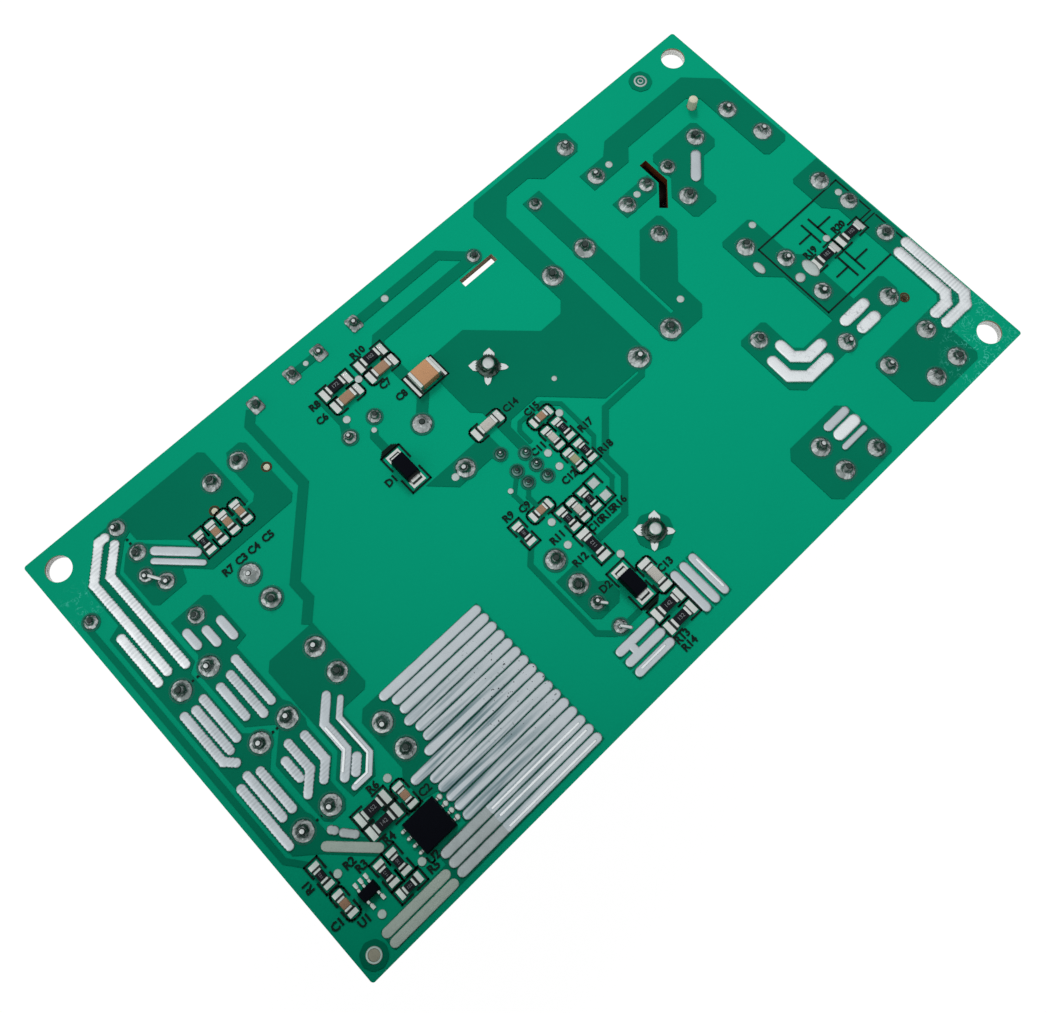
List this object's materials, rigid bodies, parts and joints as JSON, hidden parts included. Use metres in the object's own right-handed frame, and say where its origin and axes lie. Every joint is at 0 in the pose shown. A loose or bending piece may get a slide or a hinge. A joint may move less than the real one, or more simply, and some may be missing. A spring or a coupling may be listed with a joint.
{
  "type": "range control board",
  "caption": "Single-sided power supply and control board for a kitchen range, solder side up: soldered leads, solder bars and chip parts above, tall leaded parts below.",
  "frame": {"origin": "under the middle of the board, on the plane of the tallest components' far ends, which the part stands on", "axes": "+Z out of the solder side, +X along the board's long edge towards the mains end, +Y along its short edge"},
  "size_m": [0.142, 0.0804, 0.0338],
  "materials": {
    "board_laminate": "satin solder mask",
    "masked_copper": "satin solder mask over copper",
    "solder": "bright wave-soldered tin",
    "tinned_metal": "tinned",
    "tab_brass": "tin-plated brass",
    "resistor_glaze": "dark glaze",
    "capacitor_ceramic": "unglazed tan ceramic",
    "moulded_black": "moulded epoxy",
    "ferrite": "ground ferrite",
    "bobbin_plastic": "moulded",
    "enamelled_copper": "enamelled wire",
    "insulating_tape": "polyester film tape",
    "heatsink_aluminium": "plain extrusion",
    "spring_steel": "bright spring steel",
    "can_sleeve": "shrunk sleeve",
    "film_box": "moulded box",
    "disc_blue": "dipped epoxy",
    "disc_orange": "dipped epoxy",
    "disc_green": "dipped epoxy",
    "fuse_glass": "clear tube",
    "fuse_nickel": "nickel-plated cap",
    "header_nylon": "natural nylon"
  },
  "bodies": {
    "root": {"circuit_board": "board_laminate", "copper_foil": "masked_copper", "solder_bars": "solder", "solder_joints": "solder", "star_joints": "solder", "lead_ends": "tinned_metal", "chip_end_caps": "tinned_metal", "surface_diode_leads": "tinned_metal", "power_transistor_leads": "tinned_metal", "regulator_leads": "tinned_metal", "controller_leads": "tinned_metal", "bridge_leads": "tinned_metal", "disc_leads": "tinned_metal", "fuse_leads": "tinned_metal", "wire_links": "tinned_metal", "heatsink_pins": "tinned_metal", "mains_header_pins": "tinned_metal", "output_header_pins": "tinned_metal", "tab_terminals": "tab_brass", "chip_resistors": "resistor_glaze", "chip_capacitors": "capacitor_ceramic", "surface_diodes": "moulded_black", "power_transistor": "moulded_black", "regulator_chip": "moulded_black", "switching_controller": "moulded_black", "bridge_rectifier": "moulded_black", "transformer_core_left": "ferrite", "transformer_core_right": "ferrite", "choke_core": "ferrite", "drum_core": "ferrite", "transformer_bobbin": "bobbin_plastic", "choke_bobbin": "bobbin_plastic", "transformer_winding": "enamelled_copper", "choke_coils": "enamelled_copper", "drum_coil": "enamelled_copper", "transformer_tape": "insulating_tape", "heatsink": "heatsink_aluminium", "controller_clip": "spring_steel", "bulk_capacitors": "can_sleeve", "output_capacitors": "can_sleeve", "bias_capacitor": "can_sleeve", "line_capacitors": "film_box", "safety_capacitors": "disc_blue", "varistor": "disc_blue", "clamp_capacitor": "disc_orange", "thermistor": "disc_green", "fuse_body": "fuse_glass", "fuse_caps": "fuse_nickel", "mains_headers": "header_nylon", "output_header": "header_nylon"}
  },
  "joints": []
}
